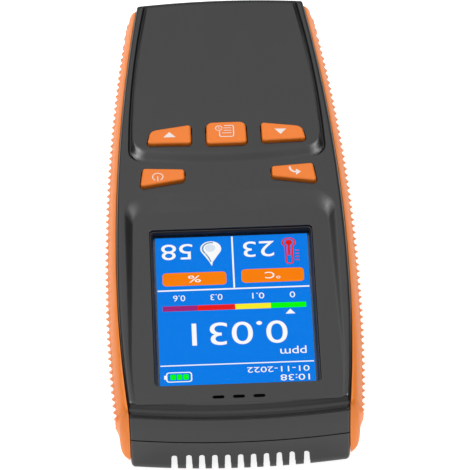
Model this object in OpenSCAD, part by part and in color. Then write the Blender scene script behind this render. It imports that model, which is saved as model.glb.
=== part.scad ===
// Handheld air quality monitor, lying on its back with its screen up.
// Millimetres. Origin under the centre of the body, on the surface that it rests on.
// -Y is the sensor end with the vents, +Y is the tail of the handle, +Z is up out of the screen.

/* [Body] */
// Length from the vented end to the tail, along the parting line
body_len = 174.2; // [173:0.1:176]
// Height of the front face above the resting surface
face_z = 24; // [23.5:0.1:26]
// Height of the parting line between the two case halves
seam_z = 12; // [11:0.1:13]
// Width of the case at its widest, between the two grips
case_w = 66.2; // [65:0.1:68]
// Width over the two grips at the widest
grip_w = 73.2; // [72:0.1:75]
// Where along the length the case is widest
wide_y = -34; // [-40:1:-28]
// Radius of the sides from the widest place to the tail
side_r_tail = 775; // [700:5:900]
// Radius of the sides from the widest place to the vented end
side_r_head = 555; // [500:5:700]
// Radius of the bowed ends, seen from above
end_r = 226; // [180:1:300]
// Wall thickness of the case
wall = 2; // [1.6:0.1:2.4]

/* [Screen] */
// Width of the opening for the screen
window_w = 46.6; // [45.5:0.1:48]
// Length of the opening for the screen
window_len = 61.2; // [59:0.1:62]
// Where the middle of the screen lies along the length
window_y = -43.9; // [-45:0.1:-42]
// Depth of the dished area round the screen
dish_depth = 1.2; // [0.6:0.1:1.4]
// Width of the lit area of the display
lit_w = 43.2; // [42:0.1:43.6]
// Length of the lit area of the display
lit_len = 58.4; // [56:0.1:59]

/* [Handle pad] */
// Width of the raised pad at its lip
pad_w = 56.2; // [54:0.1:57]
// Where the lip of the pad lies along the length
pad_y = 11.3; // [10.8:0.1:11.6]
// Height of the lip of the pad over the front face
pad_rise = 1.2; // [0.8:0.1:1.4]
// Height of the tail of the pad over the front face
pad_rise_tail = 0.3; // [0.1:0.1:0.6]
// Width of the groove beside the pad
groove_w = 0.9; // [0.6:0.1:1.1]

/* [Keys] */
// How far a key travels when it is pressed
key_travel = 0.9; // [0.5:0.1:0.9]
// How far a key stands above the face round it
key_proud = 1; // [0.8:0.1:1.3]
// Gap between a key and the edge of its opening
key_gap = 0.25; // [0.2:0.05:0.35]
// Width of the flange that holds a key in
key_flange = 1.1; // [0.8:0.1:1.2]

/* [Vents] */
// Number of slots in the vented end
vent_count = 11; // [5:2:11]
// Distance from slot to slot
vent_pitch = 3.55; // [3.3:0.05:3.6]
// Width of each slot
vent_w = 1.5; // [1:0.1:1.8]
// Height of the slots above the resting surface
vent_h = 6.8; // [6:0.1:8]
// How far the slots run in under the case
vent_under = 6.6; // [4:0.1:8]

/* [Grips] */
// Distance from rib to rib along a grip
rib_pitch = 2.6; // [2.2:0.1:3.2]
// Height of the ribs
rib_h = 0.4; // [0.2:0.1:0.5]

/* [Hidden] */

$fn = 32;
skin = 0.01;                                // thickness of a slice inside a hull
half_len = body_len / 2;
floor_z = wall;                             // inside floor of the rear case
dish_z = face_z - dish_depth;               // face round the screen
ledge_z = dish_z - 1.1;                     // ledge below the edge of the face at the vented end
lip_run = 1.1;                              // how far the lip of the pad slopes back
ceiling_head = dish_z - 1.8;                // inside ceiling over the screen
ceiling_tail = face_z - 1.6;                // inside ceiling over the keys and the handle
ceiling_step_y = -0.5;                      // where the ceiling steps up
board_z = face_z - 8.4;                     // underside of the main board
board_t = 1.6;
board_top = board_z + board_t;
lens_z = dish_z - 2.2;                      // underside of the clear lens
lens_t = 0.8;
plenty = 50;                                // reaches past any wall

case_dark = "#474747";
grip_orange = "#f08a3c";
key_orange = "#ff8c2a";
board_green = "#1f6b3a";
steel = "#b8babd";
rubber_grey = "#6d6f73";

// ---------------------------------------------------------------- outlines

// Half width of a side that is bowed about its widest place
function bowed(half, y) = half - pow(y - wide_y, 2) / (2 * (y > wide_y ? side_r_tail : side_r_head));

function case_half(y) = bowed(case_w / 2, y);

// The grips grow a little thicker towards the tail
function grip_half(y) = bowed(grip_w / 2, y) + 0.008 * max(0, y - wide_y);

// Closed outline with sides at half(y) and bowed ends at y0 and y1, set in by inset, with round corners
function outline(half, inset, y0, y1, corner = 1, steps = 20) =
    let (
        y_low = y0 + pow(half(y0) - inset - corner, 2) / (2 * end_r),
        y_high = y1 - pow(half(y1) - inset - corner, 2) / (2 * end_r),
        from = y_low + corner,
        to = y_high - corner,
        side = [for (i = [0:steps]) let (y = from + (to - from) * i / steps) [half(y) - inset, y]],
        x_low = half(from) - inset - corner,
        x_high = half(to) - inset - corner,
        bend = [for (turn = [15:15:75]) corner * [cos(turn), sin(turn)]],
        tail = [for (i = [0:10]) let (x = x_high * (1 - i / 5)) [x, y1 - x * x / (2 * end_r)]],
        head = [for (i = [0:10]) let (x = x_low * (i / 5 - 1)) [x, y0 + x * x / (2 * end_r)]]
    )
    concat(
        side,
        [for (p = bend) [x_high + p.x, to + p.y]],
        tail,
        [for (i = [4:-1:0]) [-x_high - bend[i].x, to + bend[i].y]],
        [for (i = [steps:-1:0]) [-side[i].x, side[i].y]],
        [for (p = bend) [-x_low - p.x, from - p.y]],
        head,
        [for (i = [4:-1:0]) [x_low + bend[i].x, from - bend[i].y]]
    );

function unit(v) = v / norm(v);

// Points of the arc of radius r that rounds the corner c between its neighbours p and n
function corner_arc(p, c, n, r, steps = 5) =
    let (
        u = unit(p - c),
        v = unit(n - c),
        half = acos(u * v) / 2,
        centre = c + unit(u + v) * r / sin(half),
        start = c + u * r / tan(half) - centre,
        turn = u.x * v.y - u.y * v.x < 0 ? 1 : -1,
        sweep = (180 - 2 * half) * turn,
        from = atan2(start.y, start.x)
    )
    [for (i = [0:steps]) centre + r * [cos(from + sweep * i / steps), sin(from + sweep * i / steps)]];

// A polygon's points with each corner rounded to its own radius
function rounded(points, radii) =
    let (n = len(points))
    [for (i = [0:n - 1]) each corner_arc(points[(i + n - 1) % n], points[i], points[(i + 1) % n], radii[i])];

function box_points(w, l) = [[-w / 2, -l / 2], [w / 2, -l / 2], [w / 2, l / 2], [-w / 2, l / 2]];

function round_box(w, l, r) = rounded(box_points(w, l), [r, r, r, r]);

// A flat slice of the body at height z, for use inside hull()
module slice(half, z, inset, y0, y1, corner = 1) {
    translate([0, 0, z])
        linear_extrude(skin)
            polygon(outline(half, inset, y0, y1, corner));
}

// A plate of the given outline from z0 up to z1
module plate(points, z0, z1) {
    translate([0, 0, z0])
        linear_extrude(z1 - z0)
            polygon(points);
}

// A box given by its low corner and its high corner
module block(low, high) {
    translate(low)
        cube(high - low);
}

module each_side() {
    children();
    mirror([1, 0, 0])
        children();
}

// ---------------------------------------------------------------- case halves

case_screw_at = [[26.5, -79.5], [24.5, 37], [20, 72]];
board_screw_at = [[27.8, -62], [27.8, -3.2]];
case_boss_d = 6;
board_boss_d = 4.6;
case_screw_d = 2.2;
board_screw_d = 2;
case_head_z = 4;                            // where the heads of the case screws seat

// Outer form of both halves together, up to the ledge at the vented end
module case_form() {
    hull() {
        slice(function (y) case_half(y), 0, 3, -83.9, 81);
        slice(function (y) case_half(y), 0.5, 1.4, -85.4, 83.2);
        slice(function (y) case_half(y), 1.5, 0.5, -86.4, 84.8);
        slice(function (y) case_half(y), 3.2, 0.1, -86.9, 85.8);
        slice(function (y) case_half(y), seam_z, 0, -half_len, half_len);
        slice(function (y) case_half(y), face_z - 3.6, 0, -85.9, 83);
        slice(function (y) case_half(y), ledge_z - 0.4, 0.1, -85.4, 82.4);
        slice(function (y) case_half(y), ledge_z - skin, 0.4, -84.9, 82.1);
    }
}

// The front face above the ledge, sloping down towards the vented end
module face_form() {
    hull() {
        slice(function (y) case_half(y), face_z - 4, 0, -83.5, 82.8);
        slice(function (y) case_half(y), dish_z - 0.7, 0.1, -83.2, -60);
        slice(function (y) case_half(y), dish_z - skin, 0.7, -82.8, -60);
        slice(function (y) case_half(y), face_z - 0.7, 0.1, -8, 80.8);
        slice(function (y) case_half(y), face_z - skin, 0.7, -8, 80.1);
    }
}

// Half width of the raised pad
function pad_half(y) = pad_w / 2 - pow(y - 8.7, 2) / 824;

// Outline of the pad, with a bowed lip and round corners at the lip
function pad_outline(grow) =
    let (
        y0 = pad_y - grow,
        corner = 5,
        x0 = pad_w / 2 + grow,
        side = [
            for (i = [0:12])
                let (y = y0 + corner + 3 + (half_len - y0 - corner) * i / 12)
                    [pad_half(y) + grow, y]
        ],
        lip = [for (i = [-5:5]) let (x = (x0 - corner) * i / 5) [x, y0 + x * x / 280]],
        bend = corner_arc([0, y0 + 1.2], [x0, y0 + 2.2], [x0, y0 + 30], corner)
    )
    concat(
        lip, bend, side,
        [for (i = [12:-1:0]) [-side[i].x, side[i].y]],
        [for (i = [5:-1:0]) [-bend[i].x, bend[i].y]]
    );

// The raised pad, with a sloping lip, which tapers down to the tail
module pad_form() {
    intersection() {
        hull() {
            plate(pad_outline(0), ceiling_tail, face_z);
            plate(pad_outline(-lip_run), face_z + pad_rise, face_z + pad_rise + skin);
        }
        hull() {
            slice(function (y) case_half(y), face_z - 4, 0, 0, 82.8);
            slice(function (y) case_half(y), face_z - 0.6, 0, 0, 80.8);
            slice(function (y) case_half(y), face_z + pad_rise_tail, 0, 0, 80.1);
            slice(function (y) case_half(y), face_z + pad_rise + skin, 0, 0, pad_y + 4);
        }
    }
}

// Groove on both sides of the pad, open at the tail, that ends at the corners of the lip
module pad_groove() {
    difference() {
        plate(pad_outline(groove_w), face_z - 0.8, face_z + 3);
        plate(pad_outline(0), face_z - 2, face_z + 4);
        block([-plenty, -plenty, 0], [plenty, pad_y + 2, plenty]);
    }
}

// Shallow dish round the screen, with soft sides
module screen_dish() {
    hull() {
        plate(
            rounded([[-28.7, -99], [28.7, -99], [28.7, -3.8], [-28.7, -3.8]], [1, 1, 4.5, 4.5]),
            dish_z, dish_z + skin
        );
        plate(
            rounded([[-30.4, -99], [30.4, -99], [30.4, -0.6], [-30.4, -0.6]], [1, 1, 6, 6]),
            face_z + 0.4, face_z + 1
        );
    }
}

// Room inside the front half
module front_cavity() {
    hull() {
        slice(function (y) case_half(y), seam_z - 1, wall, wall - half_len, half_len - wall);
        slice(function (y) case_half(y), ceiling_head - skin, wall, -82, 81);
    }
    hull() {
        slice(function (y) case_half(y), ceiling_head - 1, wall, ceiling_step_y, 81);
        slice(function (y) case_half(y), ceiling_tail - skin, wall + 0.8, ceiling_step_y, 78.4);
    }
}

// Room inside the rear half
module rear_cavity() {
    hull() {
        slice(function (y) case_half(y), floor_z, wall + 4, -80.5, 79.5);
        slice(function (y) case_half(y), floor_z + 2, wall + 0.8, -82.9, 82.5);
        slice(function (y) case_half(y), seam_z + skin, wall, wall - half_len, half_len - wall);
    }
}

// Ring along the parting line: the tongue of the front half, or the groove for it
module seam_ring(inset, width, z0, z1) {
    difference() {
        plate(outline(function (y) case_half(y), inset, inset - half_len, half_len - inset), z0, z1);
        plate(
            outline(
                function (y) case_half(y), inset + width, inset + width - half_len, half_len - inset - width
            ),
            z0 - 1, z1 + 1
        );
    }
}

// Height where a screw boss runs into the ceiling
function boss_top(y) = (y < ceiling_step_y ? ceiling_head : ceiling_tail) + 0.2;

module boss(at, d, hole_d, z0, z1) {
    translate([at.x, at.y, z0])
        difference() {
            cylinder(d = d, h = z1 - z0);
            translate([0, 0, -1])
                cylinder(d = hole_d, h = z1 - z0 + 1);
        }
}

module sound_slots() {
    for (x = [-5.7, 0, 5.7])
        translate([x, -79.4, 0])
            plate(round_box(3.4, 1.3, 0.6), ceiling_head - 1, face_z + 1);
}

module front_case() {
    color(case_dark) {
        difference() {
            union() {
                intersection() {
                    union() {
                        case_form();
                        face_form();
                    }
                    block([-plenty, -2 * plenty, seam_z], [plenty, 2 * plenty, 2 * plenty]);
                }
                pad_form();
            }
            screen_dish();
            pad_groove();
            front_cavity();
            seam_ring(-1, 1.25, seam_z - 1, seam_z + 0.25);
            translate([0, window_y, 0])
                plate(round_box(window_w, window_len, 1.2), ceiling_head - 1, face_z + 1);
            sound_slots();
            for (key = KEYS)
                key_at(key)
                    linear_extrude(plenty)
                        offset(r = key_gap)
                            polygon(key_outline(key));
        }
        seam_ring(0.7, 0.6, seam_z - 0.8, seam_z + skin);
        each_side() {
            for (at = case_screw_at)
                boss(at, case_boss_d, case_screw_d, seam_z, boss_top(at.y));
            for (at = board_screw_at)
                boss(at, board_boss_d, board_screw_d, board_top, boss_top(at.y));
        }
    }
}

// Slots that start in the vented end and run in under the case
module vents() {
    middle = (vent_count - 1) / 2;
    for (i = [-middle:middle]) {
        x = vent_pitch * i + (abs(i) == middle ? sign(i) * 0.7 : 0);
        block([x - vent_w / 2, -half_len - 5, -1], [x + vent_w / 2, vent_under - half_len, vent_h]);
    }
}

port_z = 7.6;                               // middle of the charging port
label_w = 44;
label_len = 62;
label_y = 14;
label_deep = 0.4;

module rear_case() {
    color(case_dark) {
        difference() {
            union() {
                difference() {
                    intersection() {
                        case_form();
                        block([-plenty, -2 * plenty, -1], [plenty, 2 * plenty, seam_z]);
                    }
                    rear_cavity();
                }
                each_side()
                    for (at = case_screw_at)
                        translate([at.x, at.y, floor_z - 0.2])
                            cylinder(d = case_boss_d, h = seam_z - floor_z + 0.2);
            }
            seam_ring(0.6, 0.8, seam_z - 0.9, seam_z + 1);
            vents();
            each_side()
                for (at = case_screw_at)
                    translate([at.x, at.y, -1]) {
                        cylinder(d = 4.8, h = case_head_z + 1);
                        cylinder(d = 2.8, h = plenty);
                    }
            translate([0, label_y, 0])
                plate(round_box(label_w, label_len, 2), -1, label_deep);
            translate([0, half_len, port_z])
                rotate([90, 0, 0]) {
                    translate([0, 0, -1])
                        linear_extrude(2.4)
                            polygon(round_box(12.4, 6.4, 2));
                    linear_extrude(10)
                        polygon(round_box(9.4, 3.7, 1.6));
                }
        }
    }
}

// ---------------------------------------------------------------- grips

// Outer form over both grips, before the case is taken out of it
module grip_form(grow) {
    hull() {
        slice(function (y) grip_half(y) - rib_h + grow, 1.3, 3, -84.5, 82, 2.6);
        slice(function (y) grip_half(y) - rib_h + grow, 2.7, 1.2, -86, 83.4, 2.6);
        slice(function (y) grip_half(y) - rib_h + grow, 6, 0.25, -86.7, 84.2, 2.6);
        slice(function (y) grip_half(y) - rib_h + grow, seam_z, 0, -86.9, 84.4, 2.6);
        slice(function (y) grip_half(y) - rib_h + grow, 17.5, 0.35, -86.2, 83.2, 2);
        slice(function (y) grip_half(y) - rib_h + grow, 20.6, 1.3, -85.3, 82, 1.6);
        slice(function (y) grip_half(y) - rib_h + grow, 22, 2.1, -84.4, 81.2, 1.2);
        slice(function (y) grip_half(y) - rib_h + grow, 22.6, 3, -83.2, 80.4, 1);
    }
}

// Toothed outline that makes the ribs, from near the tail to near the vented end
function rib_outline() =
    let (
        first = -80.5,
        count = floor(161 / rib_pitch),
        deep = -3,
        teeth = [
            for (i = [0:count], step = [[-0.32, deep], [-0.18, rib_h], [0.18, rib_h], [0.32, deep]])
                let (y = first + rib_pitch * (i + step[0]))
                    [grip_half(y) - rib_h + step[1], y]
        ]
    )
    concat(teeth, [[15, 85], [15, -85]]);

module grip() {
    difference() {
        union() {
            grip_form(0);
            intersection() {
                grip_form(rib_h);
                plate(rib_outline(), 3.5, 20);
            }
        }
        plate(outline(function (y) case_half(y), -0.05, -2 * half_len, 2 * half_len), -1, plenty);
        block([-plenty, -2 * plenty, -1], [0, 2 * plenty, plenty]);
    }
}

module right_grip() {
    color(grip_orange)
        grip();
}

module left_grip() {
    color(grip_orange)
        mirror([1, 0, 0])
            grip();
}

// ---------------------------------------------------------------- display

module display_bezel() {
    color("#161616")
        translate([0, window_y, 0])
            difference() {
                union() {
                    plate(round_box(window_w - 0.2, window_len - 0.2, 1.1), lens_z, dish_z - 0.5);
                    plate(round_box(window_w + 3, window_len + 3, 1.5), lens_z, ceiling_head - 0.05);
                }
                plate(round_box(window_w - 1.2, window_len - 1.2, 0.8), lens_z - 1, lens_z + lens_t);
                hull() {
                    plate(round_box(lit_w + 0.4, lit_len + 0.4, 0.3), lens_z, lens_z + lens_t);
                    plate(round_box(window_w - 0.7, window_len - 0.7, 0.9), dish_z - 0.5, dish_z);
                }
            }
}

module display_lens() {
    color("#9fb4c8", 0.35)
        translate([0, window_y, 0])
            plate(round_box(window_w - 1.4, window_len - 1.4, 0.7), lens_z, lens_z + lens_t);
}

panel_w = 50;
panel_y0 = window_y - 31.8;
panel_y1 = window_y + 36.8;

module display_panel() {
    color("#0a7fe6")
        block(
            [-panel_w / 2 + 0.4, panel_y0 + 0.4, lens_z - 1.3],
            [panel_w / 2 - 0.4, panel_y1 - 2, lens_z - 0.1]
        );
}

module display_backlight() {
    color(steel)
        difference() {
            block([-panel_w / 2, panel_y0, board_top + 0.1], [panel_w / 2, panel_y1, lens_z - 0.5]);
            block(
                [-panel_w / 2 + 0.35, panel_y0 + 0.35, lens_z - 1.35],
                [panel_w / 2 - 0.35, panel_y1 - 1.95, lens_z]
            );
        }
}

// Flat cable that leaves the display and turns down to its socket on the board
module display_ribbon() {
    ribbon_t = 0.2;
    high = board_top + 1.9;
    low = board_top + 0.6;
    y0 = panel_y1;
    color("#c98a3a")
        translate([-9, 0, 0])
            rotate([90, 0, 90])
                linear_extrude(18)
                    polygon([
                        [y0, high], [y0 + 0.9, high], [y0 + 1.7, low], [y0 + 2.2, low],
                        [y0 + 2.2, low + ribbon_t], [y0 + 1.8, low + ribbon_t],
                        [y0 + 1, high + ribbon_t], [y0, high + ribbon_t]
                    ]);
}

module ribbon_socket() {
    color("#e8e2d0")
        block([-10.5, panel_y1 + 2.2, board_top], [10.5, panel_y1 + 5.2, board_top + 1.2]);
}

// ---------------------------------------------------------------- boards and sensors

module main_board() {
    color(board_green)
        difference() {
            union() {
                plate(outline(function (y) case_half(y), wall + 0.8, -71.5, 32), board_z, board_top);
                block([-9, -82, board_z], [9, -70, board_top]);
            }
            each_side()
                for (at = board_screw_at)
                    translate([at.x, at.y, board_z - 1])
                        cylinder(d = 2.4, h = board_t + 2);
        }
}

module board_chips() {
    color("#26282b") {
        block([-7, -40, board_z - 1.4], [7, -26, board_z]);
        block([12, -38, board_z - 1.1], [18, -30, board_z]);
        block([-19, -20, board_z - 1.1], [-13, -15, board_z]);
        block([4, -16, board_z - 1], [9, -12, board_z]);
        block([-6, -14, board_z - 1.8], [-2, -9, board_z]);
    }
}

module screw(at, d, head_d, head_h, z_seat, z_tip) {
    translate([at.x, at.y, 0])
        difference() {
            union() {
                translate([0, 0, z_seat - head_h])
                    cylinder(d = head_d, h = head_h);
                translate([0, 0, z_seat])
                    cylinder(d = d, h = z_tip - z_seat);
            }
            for (turn = [0, 90])
                translate([0, 0, z_seat - head_h])
                    rotate([0, 0, turn])
                        cube([head_d * 0.62, 0.5, 1.2], center = true);
        }
}

module board_screws() {
    color(steel)
        each_side()
            for (at = board_screw_at)
                screw(at, board_screw_d, 3.8, 1.3, board_z, ceiling_head - 0.4);
}

module case_screws() {
    color(steel)
        each_side()
            for (at = case_screw_at)
                screw(at, case_screw_d, 4.4, 1.8, case_head_z, seam_z + 6);
}

module buzzer() {
    color("#202124")
        block([-8, -81.6, board_top], [8, -76.8, ceiling_head - 0.3]);
}

sensor_y = -66;

module sensor_board() {
    color(board_green)
        plate([[-14, -81], [14, -81], [14, -50], [-14, -50]], 12.7, 13.9);
}

module gas_sensor() {
    color("#d9dadc")
        translate([0, sensor_y, 3.6]) {
            cylinder(d = 20, h = 8.4);
            translate([0, 0, -0.8])
                cylinder(d = 12, h = 0.8);
            for (turn = [0:120:240])
                rotate([0, 0, turn])
                    translate([6, 0, 8.4])
                        cylinder(d = 1.5, h = 0.7);
        }
}

module humidity_sensor() {
    color("#f4f4f2")
        block([-9, -80, 11.7], [-6, -77, 12.7]);
}

module sensor_header() {
    color("#1c1c1c")
        block([-8, -54, 13.9], [8, -51.5, board_z]);
}

// ---------------------------------------------------------------- power

battery_y0 = 2;
battery_y1 = 54;
battery_z0 = floor_z + 0.4;
battery_z1 = battery_z0 + 8;

module battery_pack() {
    color("#3d6fb4")
        plate(
            rounded([[-17, battery_y0], [17, battery_y0], [17, battery_y1], [-17, battery_y1]], [2, 2, 2, 2]),
            battery_z0, battery_z1
        );
}

module battery_tape() {
    color("#dcdad2")
        block([-13, battery_y0 + 6, floor_z], [13, battery_y1 - 6, battery_z0]);
}

module battery_socket() {
    color("#efe9dc")
        block([-4, 25.5, board_z - 4], [4, 31, board_z]);
}

// Round wire that runs straight from point to point
module wire(route, d) {
    for (i = [0:len(route) - 2])
        hull() {
            translate(route[i])
                sphere(d = d, $fn = 10);
            translate(route[i + 1])
                sphere(d = d, $fn = 10);
        }
}

module battery_lead() {
    color("#b3261e")
        for (x = [-1.2, 1.2])
            wire(
                [[x, 54.7, 8.4], [x, 57, 8.8], [x, 58, 10.6], [x, 56.5, 12.6], [x, 50, 13.4], [x, 31.7, 13.4]],
                1.3
            );
}

module charge_board() {
    color(board_green)
        block([-11, 60.5, 4.4], [11, 82, port_z - 1.6]);
}

module charge_port() {
    color(steel)
        translate([0, 83.9, port_z])
            rotate([90, 0, 0]) {
                difference() {
                    linear_extrude(7.4)
                        polygon(round_box(8.94, 3.2, 1.4));
                    translate([0, 0, -1])
                        linear_extrude(7)
                            polygon(round_box(8.34, 2.6, 1.2));
                }
                translate([-3.3, -0.35, 0.6])
                    cube([6.6, 0.7, 6]);
            }
}

module charge_lead() {
    color("#222222")
        for (x = [12.4, 14.4])
            wire([[x, 33.2, 14.3], [x, 40, 13.4], [x, 58, 12.2], [x, 62, 9.2], [x - 3.6, 65, 6.7]], 1.1);
}

module rear_label() {
    color("#c9cbcd")
        translate([0, label_y, 0])
            plate(round_box(label_w - 0.4, label_len - 0.4, 1.8), label_deep - 0.25, label_deep);
}

// ---------------------------------------------------------------- keys

// Each key: the corners of its cap, their radii, the height of the face round it, and 1 or -1 for its side
PAD_KEY = [[10.25, 18.6], [23.05, 18.95], [22.1, 24.35], [10.2, 26.4]];
MENU_KEY = [[-5.9, 18.1], [5.9, 18.1], [5.75, 27], [-5.75, 27]];
FACE_KEY = [[12.6, 4.9], [25.5, 2.45], [24.6, 10], [12.6, 9.15]];
pad_face = face_z + 1.05;
UP = [PAD_KEY, [0.9, 0.9, 2.6, 0.9], pad_face, 1];
DOWN = [PAD_KEY, [0.9, 0.9, 2.6, 0.9], pad_face, -1];
MENU = [MENU_KEY, [1.2, 1.2, 2, 2], pad_face, 1];
BACK = [FACE_KEY, [0.9, 0.9, 0.9, 0.9], face_z, 1];
POWER = [FACE_KEY, [0.9, 0.9, 0.9, 0.9], face_z, -1];
KEYS = [UP, DOWN, MENU, BACK, POWER];

function key_outline(key) = rounded(key[0], key[1]);

function key_centre(key) = (key[0][0] + key[0][1] + key[0][2] + key[0][3]) / 4;

module key_at(key) {
    mirror([key[3] < 0 ? 1 : 0, 0, 0])
        children();
}

flange_z = ceiling_tail - 0.2;              // top of a key's flange
flange_t = 1.2;
stem_z = board_top + key_travel + 0.5;      // foot of a key's stem, on its contact pill
stem_inset = 1.2;                           // how much narrower a stem is than its cap
pill_t = 0.4;
mat_t = 1.2;
mat_y = 15;                                 // middle of the keypad mat
edge_r = 0.5;                               // softened top edge of a key

module key_cap(key) {
    top = key[2] + key_proud;
    color(key_orange)
        key_at(key) {
            translate([0, 0, flange_z - flange_t])
                linear_extrude(flange_t)
                    offset(r = key_flange)
                        polygon(key_outline(key));
            translate([0, 0, flange_z - 0.1])
                linear_extrude(top - edge_r - flange_z + 0.1)
                    polygon(key_outline(key));
            hull() {
                translate([0, 0, top - edge_r - skin])
                    linear_extrude(skin)
                        polygon(key_outline(key));
                translate([0, 0, top - skin])
                    linear_extrude(skin)
                        offset(delta = -edge_r)
                            polygon(key_outline(key));
            }
            translate([0, 0, stem_z])
                linear_extrude(flange_z - flange_t - stem_z + 0.1)
                    offset(delta = -stem_inset)
                        polygon(key_outline(key));
        }
}

// A flat slice of a key's outline at height z, for use inside hull()
module key_slice(key, z, grow) {
    translate([0, 0, z])
        linear_extrude(skin)
            offset(r = grow)
                polygon(key_outline(key));
}

// Rubber skirt that stands on the mat round a key's stem and springs the key back up
module key_web(key) {
    web_t = 0.6;
    low = board_top + mat_t;
    high = flange_z - flange_t - skin;
    color(rubber_grey)
        key_at(key)
            difference() {
                hull() {
                    key_slice(key, low, web_t);
                    key_slice(key, high, -0.3);
                }
                hull() {
                    key_slice(key, low - skin, 0);
                    key_slice(key, high + skin, -0.3 - web_t);
                }
            }
}

// Carbon contact under a key's stem
module key_pill(key) {
    color("#151515")
        key_at(key)
            translate([key_centre(key).x, key_centre(key).y, stem_z - pill_t])
                cylinder(d = 3, h = pill_t);
}

// Rubber sheet on the board, with a hole for the stem of each key
module keypad_mat() {
    color(rubber_grey)
        difference() {
            translate([0, mat_y, 0])
                plate(round_box(55, 29.4, 3), board_top, board_top + mat_t);
            for (key = KEYS)
                key_at(key)
                    translate([0, 0, board_top - 1])
                        linear_extrude(mat_t + 2)
                            offset(delta = 0.5 - stem_inset)
                                polygon(key_outline(key));
        }
}

front_case();
rear_case();
left_grip();
right_grip();
display_bezel();
display_lens();
display_panel();
display_backlight();
display_ribbon();
ribbon_socket();
main_board();
board_chips();
board_screws();
keypad_mat();
buzzer();
sensor_board();
gas_sensor();
humidity_sensor();
sensor_header();
battery_pack();
battery_tape();
battery_socket();
battery_lead();
charge_board();
charge_port();
charge_lead();
case_screws();
rear_label();
key_cap(UP);  // key_up
key_cap(DOWN);  // key_down
key_cap(MENU);  // key_menu
key_cap(POWER);  // key_power
key_cap(BACK);  // key_back
key_web(UP);  // web_up
key_web(DOWN);  // web_down
key_web(MENU);  // web_menu
key_web(POWER);  // web_power
key_web(BACK);  // web_back
key_pill(UP);  // pill_up
key_pill(DOWN);  // pill_down
key_pill(MENU);  // pill_menu
key_pill(POWER);  // pill_power
key_pill(BACK);  // pill_back
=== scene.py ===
import math

import bmesh
import bpy
from mathutils import Matrix, Vector


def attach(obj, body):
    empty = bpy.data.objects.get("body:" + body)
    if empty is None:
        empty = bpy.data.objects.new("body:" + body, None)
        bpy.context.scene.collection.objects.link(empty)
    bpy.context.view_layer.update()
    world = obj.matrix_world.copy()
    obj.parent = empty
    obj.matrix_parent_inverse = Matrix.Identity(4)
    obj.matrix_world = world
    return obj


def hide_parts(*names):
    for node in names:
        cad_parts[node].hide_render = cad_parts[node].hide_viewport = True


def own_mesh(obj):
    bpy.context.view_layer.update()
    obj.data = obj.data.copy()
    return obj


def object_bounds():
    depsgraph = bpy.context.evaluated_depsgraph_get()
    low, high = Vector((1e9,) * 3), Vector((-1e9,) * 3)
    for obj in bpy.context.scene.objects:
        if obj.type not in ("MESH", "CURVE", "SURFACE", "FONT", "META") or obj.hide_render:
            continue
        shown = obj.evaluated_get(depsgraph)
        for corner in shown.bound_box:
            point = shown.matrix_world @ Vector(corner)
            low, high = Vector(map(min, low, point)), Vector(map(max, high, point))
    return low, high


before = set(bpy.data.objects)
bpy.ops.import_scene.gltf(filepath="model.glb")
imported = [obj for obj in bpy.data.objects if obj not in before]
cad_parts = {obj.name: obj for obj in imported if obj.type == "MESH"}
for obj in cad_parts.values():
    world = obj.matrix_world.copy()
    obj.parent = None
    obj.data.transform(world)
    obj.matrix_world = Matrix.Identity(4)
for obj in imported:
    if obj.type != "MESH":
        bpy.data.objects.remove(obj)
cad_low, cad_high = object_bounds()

elevation, azimuth, roll = math.radians(45.4), math.radians(-1.17), math.radians(-1.22)
looked_at = Vector((0.0011, -0.0180, cad_high.z - 0.0016))
distance = 1.677
towards_camera = Vector((
    math.sin(azimuth) * math.cos(elevation), -math.cos(azimuth) * math.cos(elevation), math.sin(elevation)
))
camera = bpy.data.objects.new("camera", bpy.data.cameras.new("camera"))
camera.data.sensor_width = 36
camera.data.lens = 449.2
camera.data.clip_end = 20
facing = towards_camera.to_track_quat("Z", "Y").to_matrix() @ Matrix.Rotation(roll, 3, "Z")
camera.matrix_world = Matrix.Translation(looked_at + towards_camera * distance) @ facing.to_4x4()
bpy.context.scene.collection.objects.link(camera)
bpy.context.scene.camera = camera

# ---------------------------------------------------------------- Front case
# Injection moulded in dark grey ABS with a fine spark-eroded texture. It carries the dished screen area and
# the raised handle pad, and it has an opening for each key and for the buzzer's sound. Sizes are in millimetres.
MM = 0.001
WIDE_Y = -34                                # where the case is widest
CASE_HALF = 33.1
SIDE_R_TAIL = 775
SIDE_R_HEAD = 555
END_R = 226                                 # bow of the two ends, seen from above
KINK_Y = -8                                 # the face slopes down from here to the sensor end
FACE_END_Y = -84
FACE_Z = 24
DISH_Z = 22.8                               # floor of the dish round the screen
DISH_HALF, DISH_WALL_W = 30.55, 2.8
SEAM_Z = 12
WINDOW_Y = -43.9
WINDOW_HALF = (23.3, 30.6)
END_STEPS, BEND_STEPS, SIDE_STEPS = 10, 6, 12


def bowed(half, y):
    return half - (y - WIDE_Y) ** 2 / (2 * (SIDE_R_TAIL if y > WIDE_Y else SIDE_R_HEAD))


def smooth(t):
    t = min(max(t, 0), 1)
    return t * t * (3 - 2 * t)


def spread(low, high, steps):
    return [low + (high - low) * i / steps for i in range(steps + 1)]


def quarter(centre, radius, start, steps=BEND_STEPS):
    """Points strictly between the ends of a quarter circle that starts at an angle in degrees."""
    turns = [math.radians(start + 90 * i / steps) for i in range(1, steps)]
    return [(centre[0] + radius * math.cos(a), centre[1] + radius * math.sin(a)) for a in turns]


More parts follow.
